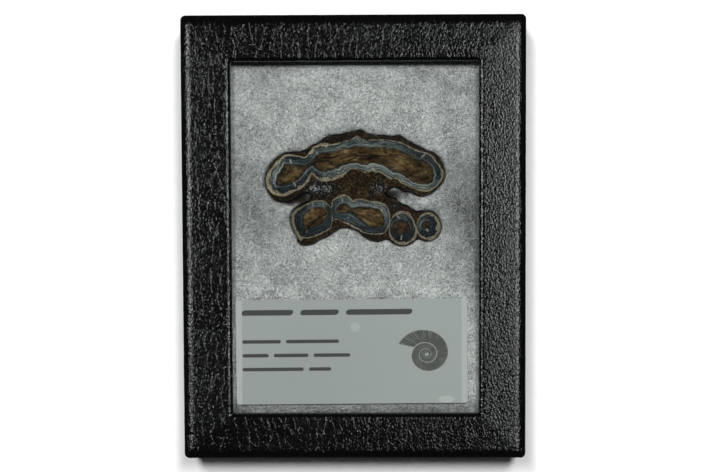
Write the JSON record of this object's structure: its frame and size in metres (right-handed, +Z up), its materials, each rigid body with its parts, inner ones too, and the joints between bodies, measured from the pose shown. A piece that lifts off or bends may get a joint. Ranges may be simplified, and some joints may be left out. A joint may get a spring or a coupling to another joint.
{
  "type": "mammoth molar slice",
  "caption": "Polished cross-section of a mammoth molar on white fibre batting, in a shallow black display case with a glass window and a label card.",
  "frame": {"origin": "middle of the tray's flat underside, which is the bottom centre of the whole case", "axes": "+Z up out of the glass, +Y towards the head of the case, where the slice lies, and +X towards its right side seen through the glass"},
  "size_m": [0.0826, 0.1076, 0.0191],
  "materials": {
    "tray_board": "satin",
    "lid_leatherette": "satin",
    "window_glass": "polished",
    "batting": "matte",
    "polished_molar": "polished",
    "label_card": "satin"
  },
  "bodies": {
    "root": {"case_tray": "tray_board", "case_lid": "lid_leatherette", "window_glass": "window_glass", "fibre_bed": "batting", "molar_slice": "polished_molar", "label_card": "label_card"}
  },
  "joints": []
}
